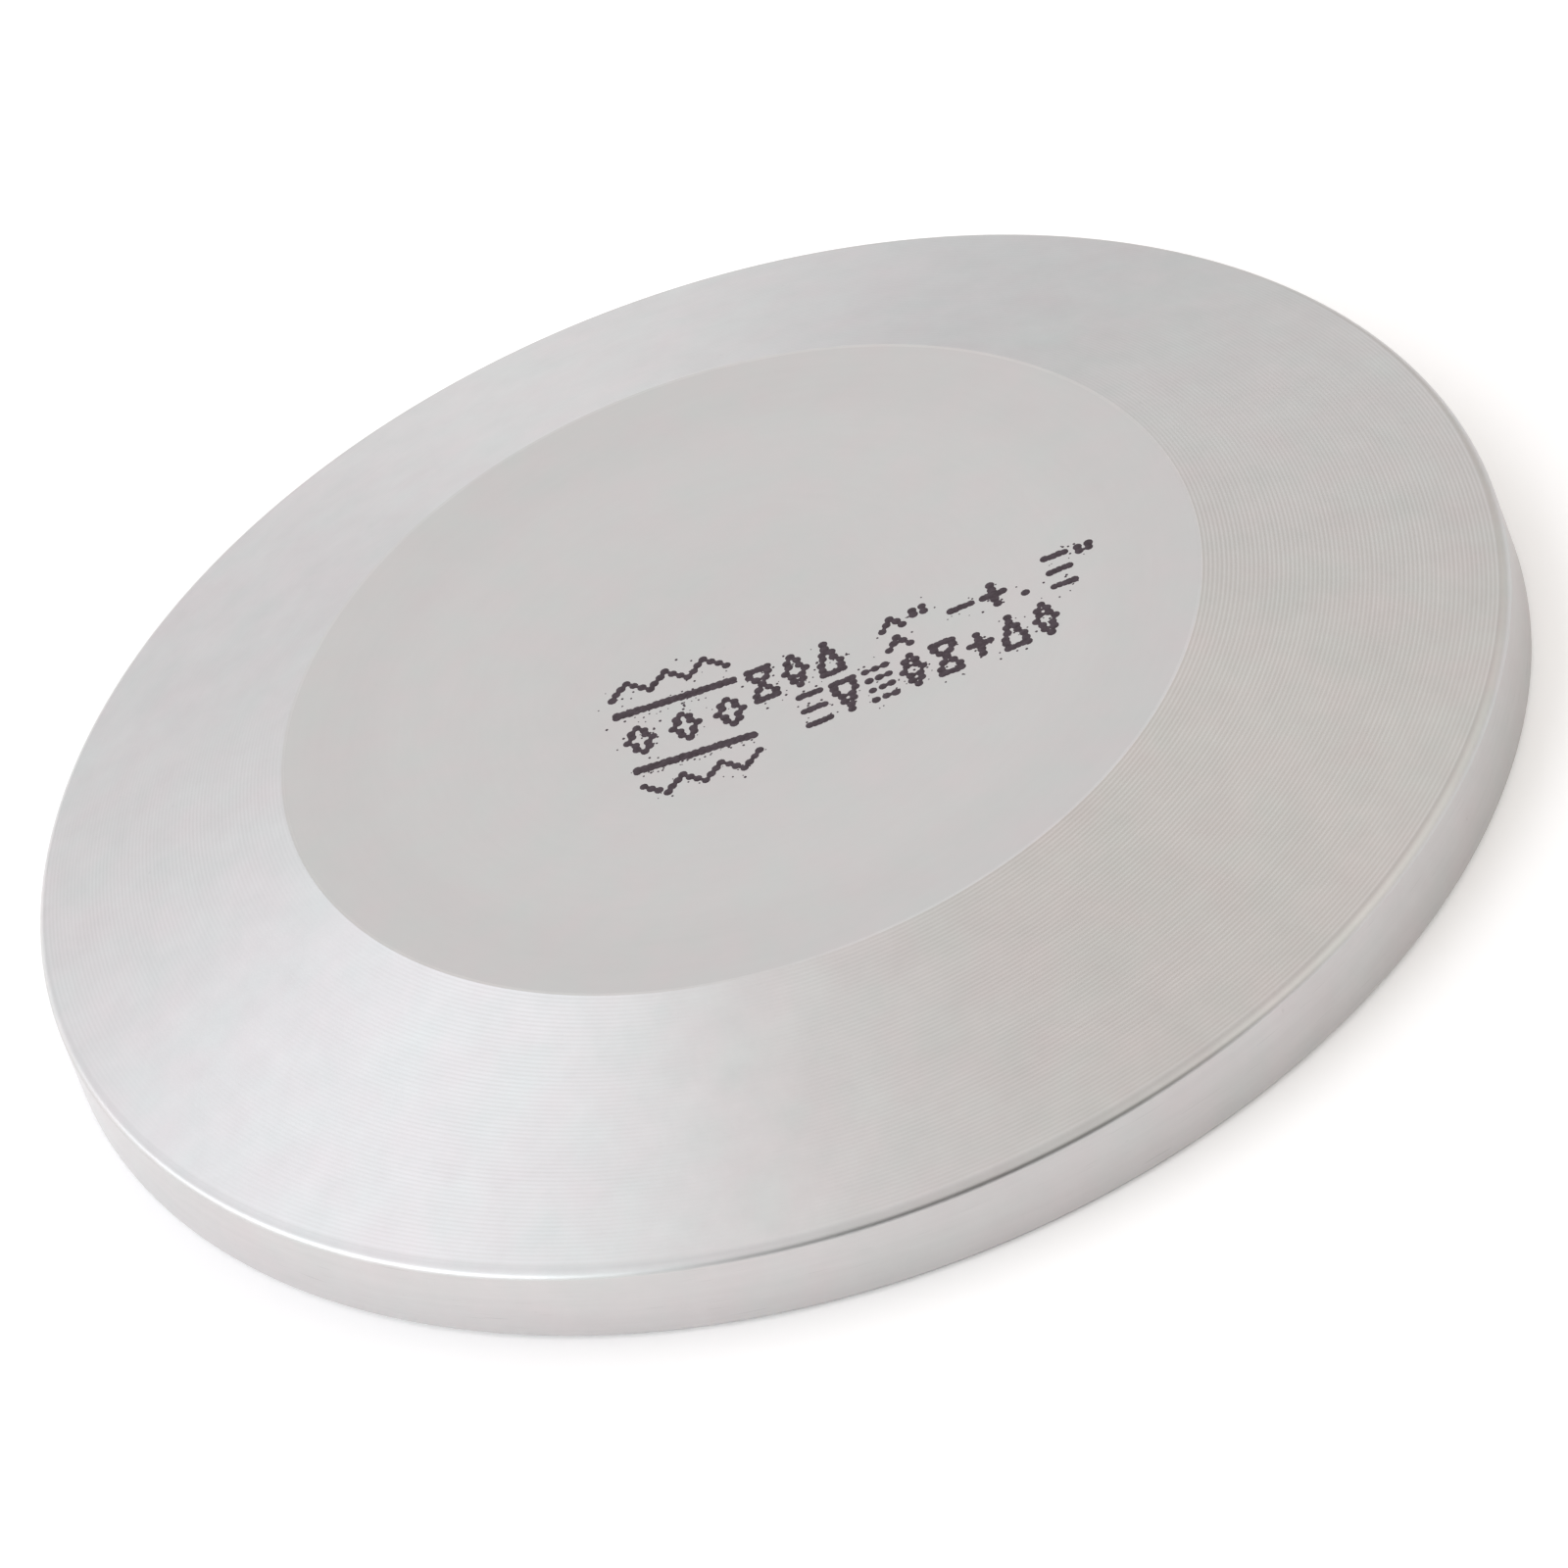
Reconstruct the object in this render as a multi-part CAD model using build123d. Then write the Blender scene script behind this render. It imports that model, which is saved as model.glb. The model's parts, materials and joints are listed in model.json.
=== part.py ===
"""Sanitary clamp end cap: a solid turned disc that closes the end of a clamped hygienic ferrule.

One piece of stainless steel, turned all over. Lengths are in millimetres, angles in degrees.
Frame: +Z up along the turning axis. The origin is the centre of the gasket face, on which the cap
rests. The outer face, which looks away from the tube, is on top.
"""
from build123d import *
import os
from math import sqrt, tan, radians

# Flange: what the clamp's jaws and the gasket's rim take hold of.
FLANGE_DIAMETER = 50.5         # across the cylindrical rim
RIM_HEIGHT = 2.9               # gasket face up to where shoulder and rim would meet at a sharp corner
SHOULDER_ANGLE = 20.0          # slope of the clamp shoulder, from the plane of the gasket face
CAP_THICKNESS = 6.35           # gasket face to outer face

# Gasket groove: an arc in section, turned into the gasket face.
GROOVE_LAND = 1.25             # flat land from the rim to the groove's outer lip, lips taken as sharp
GROOVE_ARC_RADIUS = 2.35       # radius of the groove's section, larger than its depth
GROOVE_DEPTH = 1.6             # gasket face to the bottom of the groove

# Finished edges.
SHOULDER_EDGE_RADIUS = 0.35    # shoulder to rim
OUTER_FACE_EDGE_RADIUS = 0.1   # outer face to shoulder
GROOVE_LIP_RADIUS = 0.25       # both lips of the groove
GASKET_FACE_CHAMFER = 0.2      # rim to gasket face

# Worked out from the sizes above.
FLANGE_RADIUS = FLANGE_DIAMETER / 2
SHOULDER_RISE = CAP_THICKNESS - RIM_HEIGHT
OUTER_FACE_RADIUS = FLANGE_RADIUS - SHOULDER_RISE / tan(radians(SHOULDER_ANGLE))
GROOVE_HALF_WIDTH = sqrt(GROOVE_ARC_RADIUS**2 - (GROOVE_ARC_RADIUS - GROOVE_DEPTH) ** 2)
GROOVE_OUTER_RADIUS = FLANGE_RADIUS - GROOVE_LAND
GROOVE_MEAN_RADIUS = GROOVE_OUTER_RADIUS - GROOVE_HALF_WIDTH
GROOVE_INNER_RADIUS = GROOVE_MEAN_RADIUS - GROOVE_HALF_WIDTH

# Corners of the half section as (distance from the axis, height), before their edges are finished.
AXIS_AT_GASKET_FACE = (0, 0)
GROOVE_INNER_LIP = (GROOVE_INNER_RADIUS, 0)
GROOVE_BOTTOM = (GROOVE_MEAN_RADIUS, GROOVE_DEPTH)
GROOVE_OUTER_LIP = (GROOVE_OUTER_RADIUS, 0)
RIM_AT_GASKET_FACE = (FLANGE_RADIUS, 0)
RIM_AT_SHOULDER = (FLANGE_RADIUS, RIM_HEIGHT)
SHOULDER_AT_OUTER_FACE = (OUTER_FACE_RADIUS, CAP_THICKNESS)
AXIS_AT_OUTER_FACE = (0, CAP_THICKNESS)


def sharp_section():
    """Half section with sharp corners: gasket face and groove, rim, shoulder, outer face, axis."""
    with BuildSketch() as section:
        with BuildLine():
            Line(AXIS_AT_GASKET_FACE, GROOVE_INNER_LIP)
            ThreePointArc(GROOVE_INNER_LIP, GROOVE_BOTTOM, GROOVE_OUTER_LIP)
            Polyline(
                GROOVE_OUTER_LIP,
                RIM_AT_GASKET_FACE,
                RIM_AT_SHOULDER,
                SHOULDER_AT_OUTER_FACE,
                AXIS_AT_OUTER_FACE,
                AXIS_AT_GASKET_FACE,
            )
        make_face()
    return section.sketch


def corner(section, place):
    """The section's vertex at a named corner."""
    return section.vertices().sort_by_distance(place)[0]


def finished_section():
    """Half section with every outer edge rounded or broken as the lathe leaves it."""
    section = sharp_section()
    section = fillet(corner(section, RIM_AT_SHOULDER), SHOULDER_EDGE_RADIUS)
    section = fillet(corner(section, SHOULDER_AT_OUTER_FACE), OUTER_FACE_EDGE_RADIUS)
    section = fillet(corner(section, GROOVE_INNER_LIP), GROOVE_LIP_RADIUS)
    section = fillet(corner(section, GROOVE_OUTER_LIP), GROOVE_LIP_RADIUS)
    return chamfer(corner(section, RIM_AT_GASKET_FACE), GASKET_FACE_CHAMFER)


def end_cap():
    """The cap: its half section turned once round the axis."""
    return revolve(Plane.XZ * finished_section(), Axis.Z)


os.makedirs("parts", exist_ok=True)
export_step(end_cap(), "parts/end_cap.step")
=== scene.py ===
"""Sanitary clamp end cap: the turned steel disc with its machining marks, and the ink mark on its outer face.

Metres throughout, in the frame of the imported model: +Z along the turning axis, gasket face on the floor.
"""

import json
import math
import random

import bpy
import numpy as np
from mathutils import Matrix, Vector


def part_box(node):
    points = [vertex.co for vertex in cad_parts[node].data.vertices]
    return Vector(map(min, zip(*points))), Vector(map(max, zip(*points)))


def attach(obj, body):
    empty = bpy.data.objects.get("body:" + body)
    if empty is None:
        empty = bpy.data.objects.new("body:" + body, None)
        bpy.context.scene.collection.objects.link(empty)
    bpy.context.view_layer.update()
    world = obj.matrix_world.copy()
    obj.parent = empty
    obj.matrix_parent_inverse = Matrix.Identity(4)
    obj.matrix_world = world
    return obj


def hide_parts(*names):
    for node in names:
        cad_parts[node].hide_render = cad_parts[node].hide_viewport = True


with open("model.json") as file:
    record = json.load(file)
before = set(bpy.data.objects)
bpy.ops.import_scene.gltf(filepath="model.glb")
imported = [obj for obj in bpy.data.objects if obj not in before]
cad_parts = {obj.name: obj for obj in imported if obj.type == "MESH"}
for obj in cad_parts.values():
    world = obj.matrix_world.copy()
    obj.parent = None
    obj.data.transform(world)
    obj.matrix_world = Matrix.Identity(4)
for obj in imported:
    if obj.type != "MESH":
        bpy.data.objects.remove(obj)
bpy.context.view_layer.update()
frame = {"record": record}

MM = 0.001

# ---------------------------------------------------------------------------------------------
# Sizes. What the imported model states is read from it; the rest repeats the model's own sizes.
# ---------------------------------------------------------------------------------------------
CAP_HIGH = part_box("end_cap")[1]
FLANGE_RADIUS = CAP_HIGH.x
CAP_THICKNESS = CAP_HIGH.z

MOUNTS = {mount["name"]: mount for mount in frame["record"]["mounts"]}
RIM_WALL = MOUNTS["rim"]["dims"]["length_mm"] * MM
RIM_WALL_LOW = MOUNTS["rim"]["pos_m"][2] - RIM_WALL / 2
RIM_CORNER_HEIGHT = MOUNTS["clamp_shoulder"]["pos_m"][2]

SHOULDER_ANGLE = math.radians(20)
OUTER_FACE_EDGE_RADIUS = 0.1 * MM
GROOVE_LAND = 1.25 * MM
GROOVE_ARC_RADIUS = 2.35 * MM
GROOVE_DEPTH = 1.6 * MM
GROOVE_LIP_RADIUS = 0.25 * MM

# The rounded edge between shoulder and rim is a little broader here than in the model.
EDGE_LEAN = math.radians(15)    # it meets the rim wall at a faint line, leaning back by this much
EDGE_REACH = 0.34 * MM          # how far in from the rim wall it goes

# Facets: round the axis, and along each stretch of the profile.
SEGMENTS = 256
FACE_STEPS = 8
GASKET_FACE_STEPS = 6
GROOVE_STEPS = 20
LIP_STEPS = 5
RIM_STEPS = 3
EDGE_STEPS = 10
FACE_EDGE_STEPS = 3

# Machining marks and print.
FEED = 0.15 * MM                # tool travel for each turn, so the spacing of the rings on the shoulder
TOOL_NOSE_RADIUS = 0.75 * MM    # sets how deep each ring is cut
ROWS_PER_RING = 4
INK_FILM = 0.008 * MM           # thickness of the print, which brings it up to the cap's full height
FACE_HEIGHT = CAP_THICKNESS - INK_FILM
LIP_WIDTH = 0.09 * MM           # the tool leaves a fine raised lip round the outer face, as high as the print

# Marks on the steel: their spacing across the turning, and the noise scales of clouds, drifts of colour
# and spots.
STREAK_SPACING = 0.25 * MM
SCRATCH_SPACING = 0.06 * MM
TOOL_MARK_SPACING = 0.07 * MM
CLOUD_SCALE = 620.0
HUE_SCALE = 480.0
SPOT_SCALE = 1900.0
# The outer face's tone changes a little with the distance from the axis: two distances, and the tone at each.
FACE_EDGE_TONE = (11.5 * MM, 13.5 * MM, 1.0, 0.975)
FACE_MIDDLE_TONE = (4.0 * MM, 9.0 * MM, 0.985, 1.0)

# Colours, linear.
STEEL_TINTS = ((0.616, 0.588, 0.590, 1), (0.584, 0.602, 0.594, 1))
RIM_TINTS = ((0.624, 0.588, 0.590, 1), (0.594, 0.600, 0.594, 1))
INK_DARK = (0.040, 0.026, 0.034, 1)
INK_PALE = (0.062, 0.044, 0.056, 1)
INK_GRAIN_SCALE = 5000.0

SEED = 7


def vector_at(angle, length):
    """A point in the profile plane, from an angle up from +R and a length."""
    return np.array([math.cos(angle), math.sin(angle)]) * length


# ---------------------------------------------------------------------------------------------
# Profile of the cap: (distance from the axis, height), from the centre of the gasket face out
# over the rim and back to the centre of the outer face.
# ---------------------------------------------------------------------------------------------
def arc(centre, radius, start, end, steps):
    """Points on an arc from one angle to another, both ends included."""
    return [np.array(centre) + vector_at(start + (end - start) * i / steps, radius) for i in range(steps + 1)]


def run(start, end, steps):
    """Points along a straight stretch, without its ends."""
    start, end = np.array(start), np.array(end)
    return [start + (end - start) * i / steps for i in range(1, steps)]


def groove_profile():
    """The gasket groove with its two rounded lips, from the inner lip to the outer one."""
    centre_depth = GROOVE_DEPTH - GROOVE_ARC_RADIUS
    half_width = math.sqrt(GROOVE_ARC_RADIUS**2 - centre_depth**2)
    mean_radius = FLANGE_RADIUS - GROOVE_LAND - half_width
    reach = GROOVE_ARC_RADIUS + GROOVE_LIP_RADIUS
    lip_rise = GROOVE_LIP_RADIUS - centre_depth
    lip_out = math.sqrt(reach**2 - lip_rise**2)
    lean = math.atan2(lip_rise, lip_out)
    centre = (mean_radius, centre_depth)
    inner_lip = (mean_radius - lip_out, GROOVE_LIP_RADIUS)
    outer_lip = (mean_radius + lip_out, GROOVE_LIP_RADIUS)
    down = -math.pi / 2
    points = arc(inner_lip, GROOVE_LIP_RADIUS, down, -lean, LIP_STEPS)
    points += arc(centre, GROOVE_ARC_RADIUS, math.pi - lean, lean, GROOVE_STEPS)[1:-1]
    points += arc(outer_lip, GROOVE_LIP_RADIUS, math.pi + lean, 2 * math.pi + down, LIP_STEPS)
    return points


def shoulder_profile():
    """The rounded edge above the rim, the shoulder with its rings, and the rounded edge of the outer face."""
    normal = math.pi / 2 - SHOULDER_ANGLE
    wall_top = RIM_WALL_LOW + RIM_WALL
    drop = (RIM_CORNER_HEIGHT - wall_top) * math.cos(SHOULDER_ANGLE)
    radius = drop / (1 - math.cos(normal - EDGE_LEAN))
    edge_centre = np.array((FLANGE_RADIUS, wall_top)) - vector_at(EDGE_LEAN, radius)
    lower_edge = arc(edge_centre, radius, EDGE_LEAN, normal, EDGE_STEPS)

    run_out = (CAP_THICKNESS - RIM_CORNER_HEIGHT) / math.tan(SHOULDER_ANGLE)
    face_corner = FLANGE_RADIUS - run_out
    face_setback = OUTER_FACE_EDGE_RADIUS * math.tan(SHOULDER_ANGLE / 2)
    face_centre = (face_corner - face_setback, CAP_THICKNESS - OUTER_FACE_EDGE_RADIUS)
    upper_edge = arc(face_centre, OUTER_FACE_EDGE_RADIUS, normal, math.pi / 2, FACE_EDGE_STEPS)

    return lower_edge + turned_rings(lower_edge[-1], upper_edge[0], vector_at(normal, 1)) + upper_edge


def turned_rings(start, end, normal):
    """Shallow rings that the tool leaves along a straight stretch, a scallop for each turn of the work."""
    rings = round(np.linalg.norm(end - start) / FEED)
    depth = FEED**2 / (8 * TOOL_NOSE_RADIUS)
    chance = random.Random(SEED)
    points = []
    for ring in range(rings):
        ring_depth = depth * chance.uniform(0.85, 1.15)
        for row in range(ROWS_PER_RING):
            if ring == row == 0:
                continue
            across = row / ROWS_PER_RING
            cut = ring_depth * (1 - (2 * across - 1) ** 2)
            points.append(start + (end - start) * (ring + across) / rings - normal * cut)
    return points


def cap_profile():
    """The whole half section, centre to centre."""
    groove = groove_profile()
    chamfer = RIM_WALL_LOW
    land_edge = np.array([FLANGE_RADIUS - chamfer, 0])
    wall_foot = np.array([FLANGE_RADIUS, chamfer])
    shoulder = shoulder_profile()
    face_edge = shoulder[-1]
    points = run((0, 0), groove[0], GASKET_FACE_STEPS)
    points += groove
    points += [land_edge, wall_foot]
    points += run(wall_foot, shoulder[0], RIM_STEPS)
    points += shoulder
    lip_foot = (face_edge[0] - LIP_WIDTH, FACE_HEIGHT)
    points += [np.array(lip_foot)] + run(lip_foot, (0, FACE_HEIGHT), FACE_STEPS)
    return points


# ---------------------------------------------------------------------------------------------
# Meshes
# ---------------------------------------------------------------------------------------------
def new_object(name, vertices, faces):
    mesh = bpy.data.meshes.new(name)
    mesh.from_pydata([tuple(v) for v in vertices], [], faces)
    mesh.update()
    made = bpy.data.objects.new(name, mesh)
    bpy.context.scene.collection.objects.link(made)
    return made


def lathe(name, profile, low_centre, high_centre):
    """Turns an open profile into a closed solid, with one vertex on the axis at each end."""
    rows = len(profile)
    vertices = [(0, 0, low_centre), (0, 0, high_centre)]
    for step in range(SEGMENTS):
        turn = 2 * math.pi * step / SEGMENTS
        vertices += [(r * math.cos(turn), r * math.sin(turn), z) for r, z in profile]
    faces = []
    for step in range(SEGMENTS):
        here, there = 2 + step * rows, 2 + (step + 1) % SEGMENTS * rows
        faces.append((0, there, here))
        faces += [(here + i, there + i, there + i + 1, here + i + 1) for i in range(rows - 1)]
        faces.append((1, here + rows - 1, there + rows - 1))
    return new_object(name, vertices, faces)


# ---------------------------------------------------------------------------------------------
# Materials
# ---------------------------------------------------------------------------------------------
class Nodes:
    """Short forms for building a node tree."""

    def __init__(self, tree):
        self.tree = tree

    def add(self, kind, **settings):
        node = self.tree.nodes.new("ShaderNode" + kind)
        for key, value in settings.items():
            setattr(node, key, value)
        return node

    def feed(self, value, socket):
        if isinstance(value, bpy.types.NodeSocket):
            self.tree.links.new(value, socket)
        else:
            socket.default_value = value

    def math(self, operation, *values):
        node = self.add("Math", operation=operation)
        for value, socket in zip(values, node.inputs):
            self.feed(value, socket)
        return node.outputs[0]

    def vector(self, operation, *values):
        node = self.add("VectorMath", operation=operation)
        for value, socket in zip(values, node.inputs):
            self.feed(value, socket)
        return node.outputs["Value"] if operation in ("LENGTH", "DOT_PRODUCT") else node.outputs[0]

    def noise(self, place, scale, detail=2.0, roughness=0.5):
        node = self.add("TexNoise")
        self.feed(place, node.inputs["Vector"])
        node.inputs["Scale"].default_value = scale
        node.inputs["Detail"].default_value = detail
        node.inputs["Roughness"].default_value = roughness
        return node.outputs[0]

    def spread(self, value, low, high, to_low, to_high, smooth=False):
        node = self.add("MapRange", interpolation_type="SMOOTHSTEP" if smooth else "LINEAR")
        names = ("Value", "From Min", "From Max", "To Min", "To Max")
        for key, item in zip(names, (value, low, high, to_low, to_high)):
            self.feed(item, node.inputs[key])
        return node.outputs[0]

    def mix_colour(self, factor, first, second):
        node = self.add("Mix", data_type="RGBA")
        self.feed(factor, node.inputs[0])
        self.feed(first, node.inputs[6])
        self.feed(second, node.inputs[7])
        return node.outputs[2]


def new_material(name):
    material = bpy.data.materials.new(name)
    material.use_nodes = True
    tree = material.node_tree
    tree.nodes.clear()
    nodes = Nodes(tree)
    shader = nodes.add("BsdfPrincipled")
    output = nodes.add("OutputMaterial")
    tree.links.new(shader.outputs[0], output.inputs[0])
    return material, nodes, shader


def turning(nodes):
    """Position on the cap, distance from its axis, distance along its section, and heading round it."""
    place = nodes.add("TexCoord").outputs["Object"]
    split = nodes.add("SeparateXYZ")
    nodes.feed(place, split.inputs[0])
    x, y, z = split.outputs
    flat = nodes.add("CombineXYZ")
    nodes.feed(x, flat.inputs[0])
    nodes.feed(y, flat.inputs[1])
    radius = nodes.vector("LENGTH", flat.outputs[0])
    heading = nodes.vector("NORMALIZE", flat.outputs[0])
    return place, radius, nodes.math("SUBTRACT", radius, z), heading


def rings(nodes, across, heading, spacing, turns, detail, seed=0.0):
    """Noise drawn out round the axis: a given spacing across the marks, and long along them, with no seam."""
    around = nodes.vector("SCALE", heading)
    around.node.inputs["Scale"].default_value = turns
    joined = nodes.add("CombineXYZ")
    nodes.feed(nodes.math("MULTIPLY_ADD", across, 1 / spacing, seed), joined.inputs[2])
    return nodes.noise(nodes.vector("ADD", around, joined.outputs[0]), 1.0, detail=detail, roughness=0.6)


def steel(name, roughness, anisotropy, mark_depth, streak, cloud, spot,
          shade=1.0, face_tone=False, scratch=0.0, tints=STEEL_TINTS):
    """Machined stainless steel: tool marks round the axis, faint streaks, cloudy stains and dark spots."""
    material, nodes, shader = new_material(name)
    place, radius, across, heading = turning(nodes)

    streaks = rings(nodes, across, heading, STREAK_SPACING, 5.0, 3.0, seed=11.0)
    clouds = nodes.noise(place, CLOUD_SCALE, detail=5.0, roughness=0.65)
    hue = nodes.noise(nodes.vector("ADD", place, (0.4, 0.1, 0.2)), HUE_SCALE, detail=4.0)
    spots = nodes.noise(place, SPOT_SCALE, detail=1.0)
    tone = nodes.mix_colour(nodes.spread(hue, 0.2, 0.8, 0.0, 1.0), *tints)
    level = nodes.spread(streaks, 0.0, 1.0, shade - 2.5 * streak, shade + 2.5 * streak)
    level = nodes.math("MULTIPLY", level, nodes.spread(clouds, 0.0, 1.0, 1 - 2.5 * cloud, 1 + 2.5 * cloud))
    level = nodes.math("MULTIPLY", level, nodes.spread(spots, 0.80, 0.86, 1.0, 1 - spot))
    if scratch:
        lines = rings(nodes, across, heading, SCRATCH_SPACING, 12.0, 1.0, seed=31.0)
        level = nodes.math("MULTIPLY", level, nodes.spread(lines, 0.70, 0.76, 1.0, 1 - scratch))
    if face_tone:
        for tone_change in (FACE_EDGE_TONE, FACE_MIDDLE_TONE):
            level = nodes.math("MULTIPLY", level, nodes.spread(radius, *tone_change, smooth=True))
    colour = nodes.vector("SCALE", tone)
    nodes.feed(level, colour.node.inputs["Scale"])
    nodes.feed(colour, shader.inputs["Base Color"])
    shader.inputs["Metallic"].default_value = 1.0
    shader.inputs["Roughness"].default_value = roughness
    shader.inputs["Anisotropic"].default_value = anisotropy
    tangent = nodes.add("Tangent", direction_type="RADIAL", axis="Z")
    nodes.feed(tangent.outputs[0], shader.inputs["Tangent"])
    bump = nodes.add("Bump")
    bump.inputs["Strength"].default_value = 1.0
    bump.inputs["Distance"].default_value = mark_depth
    nodes.feed(rings(nodes, across, heading, TOOL_MARK_SPACING, 1.5, 1.0), bump.inputs["Height"])
    nodes.feed(bump.outputs[0], shader.inputs["Normal"])
    return material


def ink_material():
    material, nodes, shader = new_material("ink")
    place = nodes.add("TexCoord").outputs["Object"]
    grain = nodes.spread(nodes.noise(place, INK_GRAIN_SCALE, detail=2.0), 0.35, 0.65, 0.0, 1.0)
    nodes.feed(nodes.mix_colour(grain, INK_DARK, INK_PALE), shader.inputs["Base Color"])
    shader.inputs["Roughness"].default_value = 0.6
    shader.inputs["Specular IOR Level"].default_value = 0.3
    return material


# ---------------------------------------------------------------------------------------------
# The cap
# ---------------------------------------------------------------------------------------------
CAP_SHARP_ANGLE = math.radians(12)

# How the facets of each part of the cap are told apart.
HAIR = 0.001 * MM               # also how deep the foot of the print lies in the steel
FACE_LIMIT = 15.7 * MM          # the flat outer face ends just beyond this distance from the axis
RIM_REACH = 0.01 * MM           # facets this close to the rim wall, or closer, belong to it

# The steel of each part of the cap, in the order of its material slots.
SHOULDER, FACE, RIM, EDGE = range(4)
STEELS = [
    dict(name="steel_shoulder", roughness=0.278, anisotropy=0.81, mark_depth=0.0002 * MM,
         streak=0.004, cloud=0.030, spot=0.08),
    dict(name="steel_face", roughness=0.40, anisotropy=0.0, mark_depth=0.0003 * MM,
         streak=0.005, cloud=0.009, spot=0.05, shade=0.975, face_tone=True),
    dict(name="steel_rim", roughness=0.30, anisotropy=0.70, mark_depth=0.0004 * MM,
         streak=0.018, cloud=0.018, spot=0.14, scratch=0.10, tints=RIM_TINTS),
    dict(name="steel_edge", roughness=0.36, anisotropy=0.80, mark_depth=0.0002 * MM,
         streak=0.004, cloud=0.030, spot=0.08),
]


def make_cap():
    cap = lathe("cap", cap_profile(), 0.0, FACE_HEIGHT)
    mesh = cap.data
    mesh.shade_smooth()
    mesh.set_sharp_from_angle(angle=CAP_SHARP_ANGLE)
    for look in STEELS:
        mesh.materials.append(steel(**look))
    for polygon in mesh.polygons:
        centre = polygon.center
        radius = math.hypot(centre.x, centre.y)
        if centre.z > FACE_HEIGHT - HAIR and radius < FACE_LIMIT or centre.z < HAIR:
            polygon.material_index = FACE
        elif radius > FLANGE_RADIUS - EDGE_REACH and centre.z > RIM_WALL_LOW + RIM_WALL:
            polygon.material_index = EDGE
        elif radius > FLANGE_RADIUS - RIM_REACH:
            polygon.material_index = RIM
        else:
            polygon.material_index = SHOULDER
    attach(cap, "root")
    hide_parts("end_cap")


# ---------------------------------------------------------------------------------------------
# The ink mark: a block and two rows of plain shapes, set out in dots as a marking printer does
# ---------------------------------------------------------------------------------------------
DOT_RADIUS = 0.163 * MM
COLUMN_PITCH = 0.17 * MM
ROW_PITCH = 0.26 * MM
CELL_PITCH = 1.16 * MM
DOT_SIDES = 10
NECK_LEAST = 0.20 * MM          # drops whose centres are between these distances apart run together
NECK_REACH = 0.35 * MM
NECK_WIDTH = 1.50               # the neck's radius as a share of theirs, less the next for each millimetre
NECK_THINNING = 3.0
NECK_FILM = 0.7 * INK_FILM
DROP_JITTER = 0.012             # in millimetres
DROP_SIZES = (0.92, 1.08)
DROP_FILMS = (0.75, 1.0)
DROP_SHOULDER = 0.86            # the rounded top starts at this share of a drop's radius
DROP_SHOULDER_HEIGHT = 0.8      # and of its height
DOT_SHARP_ANGLE = math.radians(40)

# Fine spatter beside the drops: how far it lies from them and how widely, and its size, all in millimetres.
SPATTER_COUNT = 380
SPATTER_DRIFT = (-0.08, -0.10)
SPATTER_SPREAD = (0.30, 0.28)
SPATTER_RADII = (0.022, 0.055)
SPATTER_FILM = 0.6 * INK_FILM

SHAPES = {
    "glass": ["#####", "#...#", ".#.#.", "..#..", ".#.#.", "#...#", "#####"],
    "diamond": ["..#..", ".#.#.", ".#.#.", "#...#", ".#.#.", ".#.#.", "..#.."],
    "triangle": ["..#..", "..#..", ".#.#.", ".#.#.", "#...#", "#...#", "#####"],
    "chevrons": ["..#..", ".#.#.", "#...#", ".....", "..#..", ".#.#.", "#...#"],
    "plus": [".....", "..#..", "..#..", "#####", "..#..", "..#..", "....."],
    "bars": ["#####", ".....", ".....", "#####", ".....", ".....", "#####"],
    "checks": ["#.#.#", ".....", "#.#.#", ".....", "#.#.#", ".....", "#.#.#"],
    "funnel": ["#####", "#...#", "#...#", ".#.#.", ".#.#.", "..#..", "..#.."],
    "pips": ["#.#..", "#.#..", ".....", ".....", ".....", ".....", "....."],
    "dash": [".....", ".....", ".....", "#####", ".....", ".....", "....."],
    "point": [".....", ".....", ".....", ".....", ".....", ".#...", "....."],
    "gap": ["....."] * 7,
}
ROWS = [
    (0.13 * MM, -0.54 * MM, "glass diamond triangle gap chevrons pips dash plus point bars pips"),
    (1.44 * MM, -2.72 * MM, "bars funnel checks diamond glass plus triangle diamond"),
]
BLOCK_CORNER = (-4.36 * MM, 1.35 * MM)
BLOCK_PITCH = 0.22 * MM
BLOCK_COLUMNS = 19
BLOCK_LINES = 29
BLOCK_RULES = (6.8, 7.2, 20.8, 21.2)
BLOCK_TOOTH = 3                 # height of a tooth in dots, and half its width
BLOCK_SHAPE_LINE = 11
BLOCK_SHAPE_COLUMNS = (0, 7, 14)
BLOCK_SLOPE = -0.1              # the block is printed slightly askew


def cell_dots(name, left, top, column_pitch, row_pitch):
    """Dot centres of one plain shape."""
    return [(left + column * column_pitch, top - row * row_pitch)
            for row, line in enumerate(SHAPES[name])
            for column, spot in enumerate(line) if spot == "#"]


def mark_dots():
    """Dot centres of both rows of shapes, and of the block: teeth, a rule, shapes, a rule and teeth."""
    dots = []
    for left, top, names in ROWS:
        for cell, name in enumerate(names.split()):
            dots += cell_dots(name, left + cell * CELL_PITCH, top, COLUMN_PITCH, ROW_PITCH)
    left, top = BLOCK_CORNER
    block = []
    for column in range(BLOCK_COLUMNS):
        tooth = abs(column % (2 * BLOCK_TOOTH) - BLOCK_TOOTH)
        block += [(column, line) for line in (tooth, *BLOCK_RULES, BLOCK_LINES - 1 - tooth)]
    for column in BLOCK_SHAPE_COLUMNS:
        block += [(x, -y) for x, y in cell_dots("diamond", column, -BLOCK_SHAPE_LINE, 1, 1)]
    for column, line in block:
        dots.append((left + column * BLOCK_PITCH, top - (line - column * BLOCK_SLOPE) * BLOCK_PITCH))
    return dots


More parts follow.
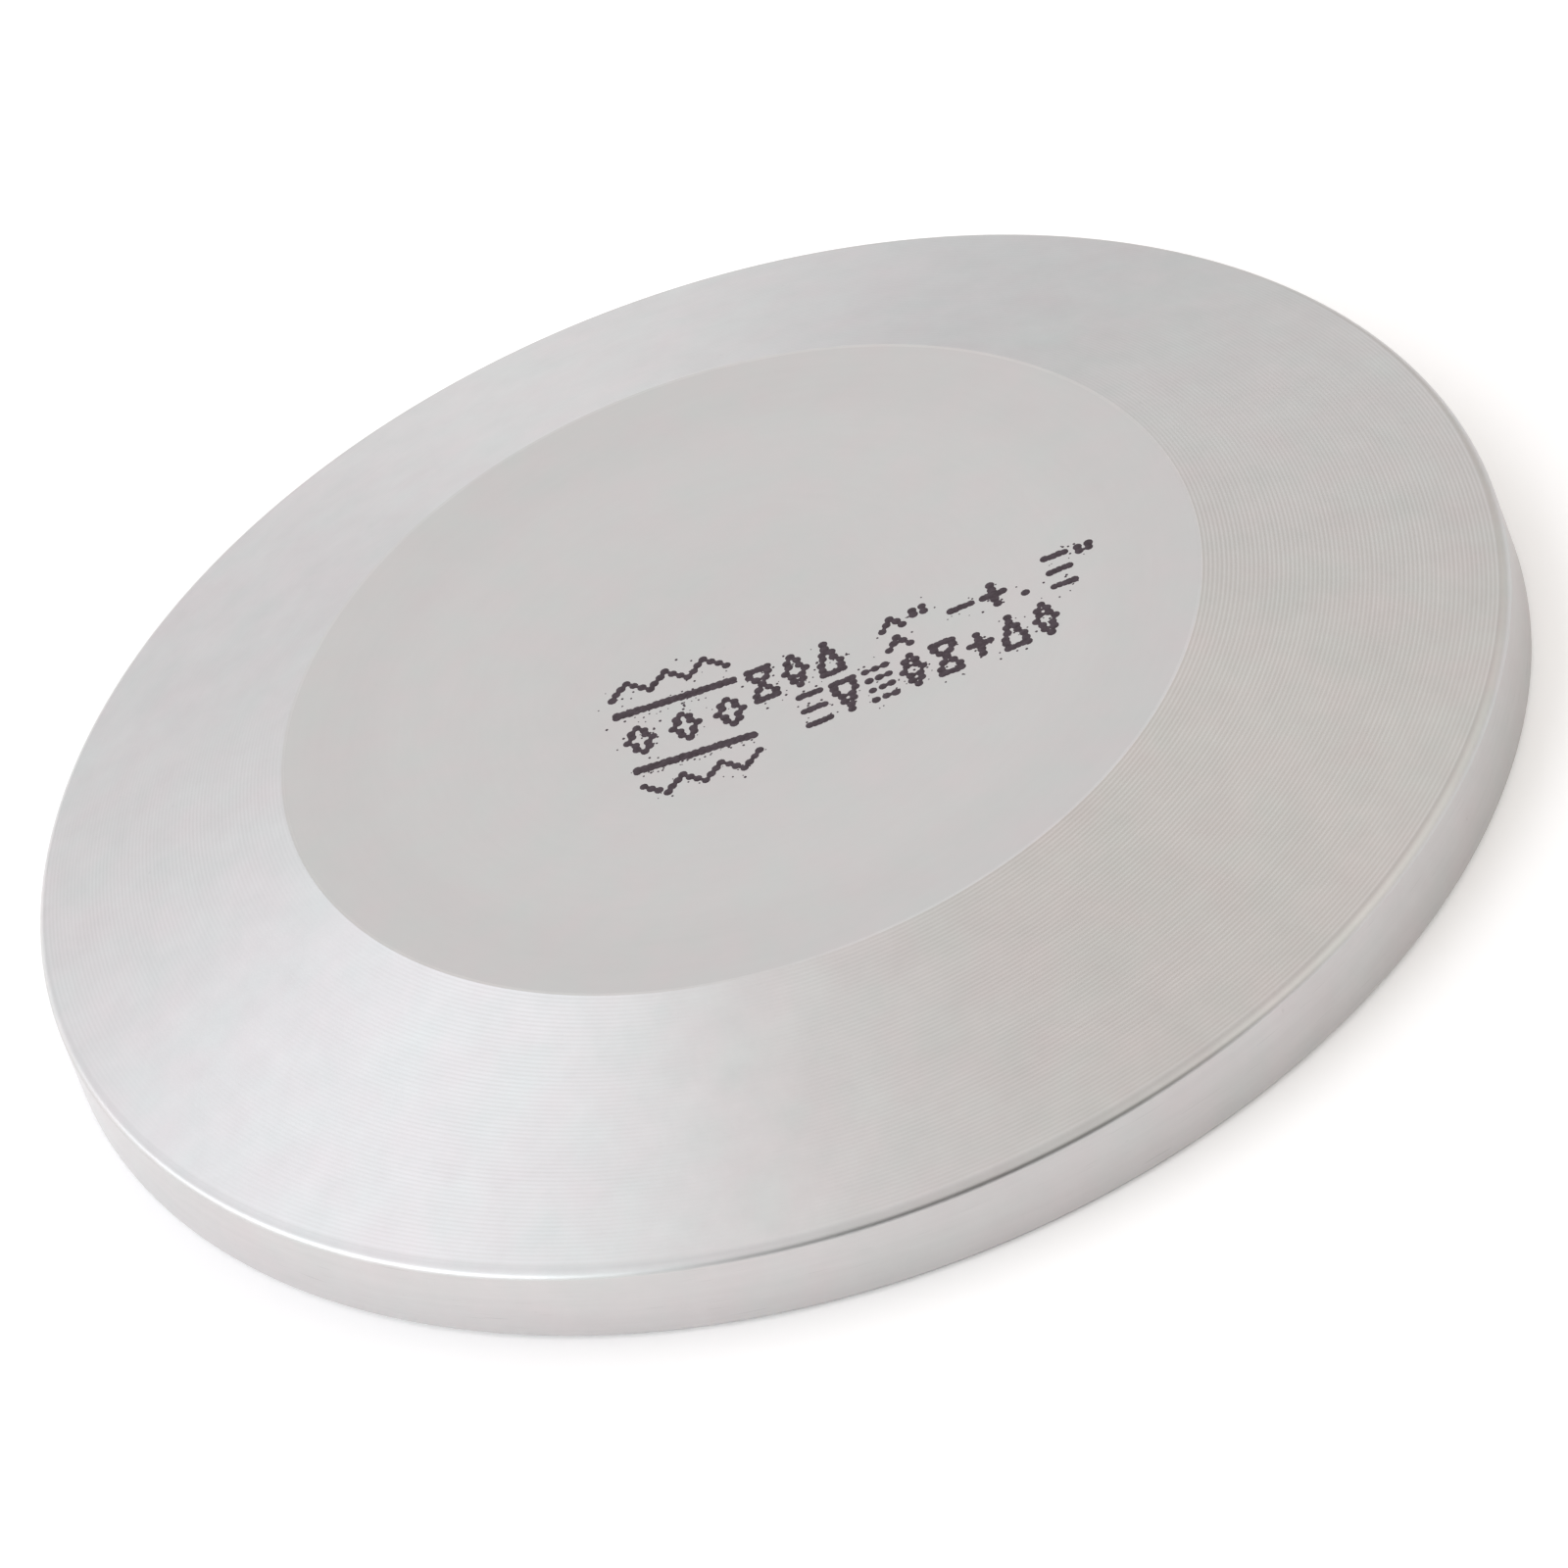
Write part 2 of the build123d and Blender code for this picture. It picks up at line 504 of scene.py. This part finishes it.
def blob(vertices, faces, x, y, radius, height):
    """Adds one closed drop of ink with a rounded top."""
    base = len(vertices)
    foot = FACE_HEIGHT - HAIR
    for reach, z in ((1.0, foot), (DROP_SHOULDER, FACE_HEIGHT + height * DROP_SHOULDER_HEIGHT)):
        for side in range(DOT_SIDES):
            turn = 2 * math.pi * side / DOT_SIDES
            vertices.append((x + radius * reach * math.cos(turn), y + radius * reach * math.sin(turn), z))
    vertices += [(x, y, foot), (x, y, FACE_HEIGHT + height)]
    for side in range(DOT_SIDES):
        here, there = base + side, base + (side + 1) % DOT_SIDES
        faces.append((here, there, there + DOT_SIDES, here + DOT_SIDES))
        faces.append((there, here, base + 2 * DOT_SIDES))
        faces.append((here + DOT_SIDES, there + DOT_SIDES, base + 2 * DOT_SIDES + 1))


def make_mark():
    chance = random.Random(SEED + 1)
    drops = []
    for x, y in mark_dots():
        x += chance.gauss(0, DROP_JITTER) * MM
        y += chance.gauss(0, DROP_JITTER) * MM
        drops.append((x, y, DOT_RADIUS * chance.uniform(*DROP_SIZES)))
    vertices, faces = [], []
    for drop in drops:
        blob(vertices, faces, *drop, INK_FILM * chance.uniform(*DROP_FILMS))
    for first in range(len(drops)):
        for second in range(first):
            gap = math.dist(drops[first][:2], drops[second][:2])
            if NECK_LEAST < gap < NECK_REACH:
                x, y, radius = ((a + b) / 2 for a, b in zip(drops[first], drops[second]))
                blob(vertices, faces, x, y, radius * (NECK_WIDTH - NECK_THINNING * gap / MM), NECK_FILM)
    for _ in range(SPATTER_COUNT):
        x, y, _radius = chance.choice(drops)
        x += chance.gauss(SPATTER_DRIFT[0], SPATTER_SPREAD[0]) * MM
        y += chance.gauss(SPATTER_DRIFT[1], SPATTER_SPREAD[1]) * MM
        blob(vertices, faces, x, y, chance.uniform(*SPATTER_RADII) * MM, SPATTER_FILM)
    mark = new_object("ink_mark", vertices, faces)
    mark.data.shade_smooth()
    mark.data.set_sharp_from_angle(angle=DOT_SHARP_ANGLE)
    mark.data.materials.append(ink_material())
    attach(mark, "root")


# ---------------------------------------------------------------------------------------------
# Studio
# ---------------------------------------------------------------------------------------------
def direction(azimuth, elevation):
    """Unit vector towards a compass angle (from +X, anticlockwise) and height, in degrees."""
    a, e = math.radians(azimuth), math.radians(elevation)
    return Vector((math.cos(a) * math.cos(e), math.sin(a) * math.cos(e), math.sin(e)))


# Broad soft lights and dark flags in the studio: where each is centred (azimuth, elevation), its half
# width and half height as tangents, its turn, the softness of its sides and of its ends, its brightness
# and its tint.
PANELS = [
    (174, 32.5, 1.05, 0.76, -10.5, 0.40, 0.10, 0.53, (0.955, 1.01, 1.11)),
    (182, 6.5, 0.56, 0.135, 0, 0.56, 0.06, 1.25, (0.96, 1.00, 1.05)),
    (341, 27, 0.57, 0.45, 21, 1.25, 0.16, 0.58, (1.01, 1.01, 0.92)),
    (90, 21.5, 0.47, 0.32, 0, 0.08, 0.30, 0.32, (0.98, 1.00, 1.07)),
    (266, 2, 1.10, 0.36, 4.5, 0.06, 0.60, -0.90, (1.01, 1.00, 0.99)),
]

# Glows, shades and casts of colour with no edge: azimuth, elevation, sharpness, brightness and tint.
GLOWS = [
    (68, 51, 30, 0.61, (0.97, 0.995, 1.02)),
    (63, -14.5, 12, -0.335, (1.00, 0.98, 1.14)),
    (215, 0, 16, 2.00, (0.95, 1.01, 1.02)),
    (150, 62, 11, 0.45, (0.96, 1.01, 1.09)),
    (35, 25, 30, 0.17, (1.01, 1.00, 0.97)),
    (25, 46, 40, 0.11, (1.01, 1.00, 0.97)),
    (55, 13, 40, 0.08, (1.01, 1.00, 0.97)),
    (206, 41, 40, 0.35, (0.98, 1.00, 1.03)),
    (86, 0, 20, 1.00, (-0.045, 0.003, 0.055)),
    (45, 62, 9, 1.00, (0.028, 0.002, -0.033)),
]

# The plain light of the room, which drifts between two tints, and the darkest that a flag makes it.
ROOM_WARM = (0.706, 0.659, 0.643, 1)
ROOM_COOL = (0.688, 0.670, 0.648, 1)
ROOM_DRIFT_SCALE = 2.2
ROOM_DARKEST = (0.03, 0.03, 0.03)

EDGE_ON = 0.05                  # a direction flatter than this to a panel's own plane misses the panel


def panel_light(nodes, heading, azimuth, elevation, half_width, half_height, turn, soft_sides, soft_ends):
    """How far a direction lies within a panel, from 0 to 1."""
    forward = direction(azimuth, elevation)
    level_right = direction(azimuth + 90, 0)
    level_up = forward.cross(level_right)
    c, s = math.cos(math.radians(turn)), math.sin(math.radians(turn))
    right = level_right * c + level_up * s
    up = level_up * c - level_right * s
    ahead = nodes.vector("DOT_PRODUCT", heading, forward)
    depth = nodes.math("MAXIMUM", ahead, EDGE_ON)
    inside = nodes.math("GREATER_THAN", ahead, EDGE_ON)
    for axis, half, soft in ((right, half_width, soft_sides), (up, half_height, soft_ends)):
        out = nodes.math("ABSOLUTE", nodes.math("DIVIDE", nodes.vector("DOT_PRODUCT", heading, axis), depth))
        fade = nodes.spread(out, half - soft / 2, half + soft / 2, 1.0, 0.0, smooth=True)
        inside = nodes.math("MULTIPLY", inside, fade)
    return inside


def make_world():
    world = bpy.data.worlds.new("studio")
    world.use_nodes = True
    tree = world.node_tree
    tree.nodes.clear()
    nodes = Nodes(tree)
    heading = nodes.add("TexCoord").outputs["Generated"]
    drift = nodes.spread(nodes.noise(heading, ROOM_DRIFT_SCALE, detail=2.0), 0.35, 0.65, 0.0, 1.0)
    colour = nodes.mix_colour(drift, ROOM_WARM, ROOM_COOL)
    parts = []
    for *shape, gain, tint in PANELS:
        parts.append((panel_light(nodes, heading, *shape), gain, tint))
    for azimuth, elevation, sharpness, gain, tint in GLOWS:
        towards = nodes.vector("DOT_PRODUCT", heading, direction(azimuth, elevation))
        away = nodes.math("SUBTRACT", towards, 1.0)
        falloff = nodes.math("EXPONENT", nodes.math("MULTIPLY", away, sharpness))
        parts.append((falloff, gain, tint))
    for amount, gain, tint in parts:
        light = nodes.vector("SCALE", tuple(c * gain for c in tint))
        nodes.feed(amount, light.node.inputs["Scale"])
        colour = nodes.vector("ADD", light, colour)
    background = nodes.add("Background")
    nodes.feed(nodes.vector("MAXIMUM", colour, ROOM_DARKEST), background.inputs["Color"])
    output = nodes.add("OutputWorld")
    tree.links.new(background.outputs[0], output.inputs[0])
    bpy.context.scene.world = world


FLOOR_COLOUR = (0.965, 0.966, 0.970, 1)
FLOOR_HALF = 4.0                # half the floor's width
FLOOR_LIFT = 0.16               # brings the floor up to white, seen or mirrored, and keeps the shadow
FLOOR_PAINTED_REFLECTION = (0.12, -0.09)     # painted reflection: a glow added to the floor only in mirror images, a little brighter left of the cap than right, as if more light fell on the floor there
FLOOR_PAINTED_REFLECTION_SPAN = (-25 * MM, 5 * MM)


def make_floor():
    corners = [(x * FLOOR_HALF, y * FLOOR_HALF, 0) for x, y in ((-1, -1), (1, -1), (1, 1), (-1, 1))]
    floor = new_object("floor", corners, [(0, 1, 2, 3)])
    material, nodes, shader = new_material("floor")
    shader.inputs["Base Color"].default_value = FLOOR_COLOUR
    shader.inputs["Roughness"].default_value = 1.0
    shader.inputs["Specular IOR Level"].default_value = 0.0
    rays = nodes.add("LightPath").outputs
    mirrored = nodes.math("MAXIMUM", rays["Is Glossy Ray"], rays["Is Transmission Ray"])
    seen = nodes.math("MAXIMUM", rays["Is Camera Ray"], mirrored)
    split = nodes.add("SeparateXYZ")
    nodes.feed(nodes.add("TexCoord").outputs["Object"], split.inputs[0])
    # Painted reflection: in mirror images only, the floor glows a little brighter left of the cap and dimmer
    # right of it.
    painted_reflection = nodes.spread(split.outputs[0], *FLOOR_PAINTED_REFLECTION_SPAN, *FLOOR_PAINTED_REFLECTION, smooth=True)
    shader.inputs["Emission Color"].default_value = (1, 1, 1, 1)
    lift = nodes.math("MULTIPLY", seen, FLOOR_LIFT)
    nodes.feed(nodes.math("MULTIPLY_ADD", mirrored, painted_reflection, lift), shader.inputs["Emission Strength"])
    floor.data.materials.append(material)


def make_camera():
    """A long lens looking down on the cap, rolled so that the cap's far right side rises in the picture."""
    elevation = math.radians(38.3)
    roll = math.radians(-21.1)
    distance = 0.8154
    target = Vector((-0.00005, 0.00135, 0.0))
    forward = Vector((0, math.cos(elevation), -math.sin(elevation)))
    right = Vector((1, 0, 0))
    up = right.cross(forward)
    level = Matrix((right, up, -forward)).transposed()
    data = bpy.data.cameras.new("camera")
    data.sensor_width = 36.0
    data.lens = 566.7
    camera = bpy.data.objects.new("camera", data)
    turned = (level @ Matrix.Rotation(roll, 3, "Z")).to_4x4()
    camera.matrix_world = Matrix.Translation(target - forward * distance) @ turned
    bpy.context.scene.collection.objects.link(camera)
    bpy.context.scene.camera = camera


bpy.context.scene.view_settings.view_transform = "Standard"
make_cap()
make_mark()
make_floor()
make_world()
make_camera()
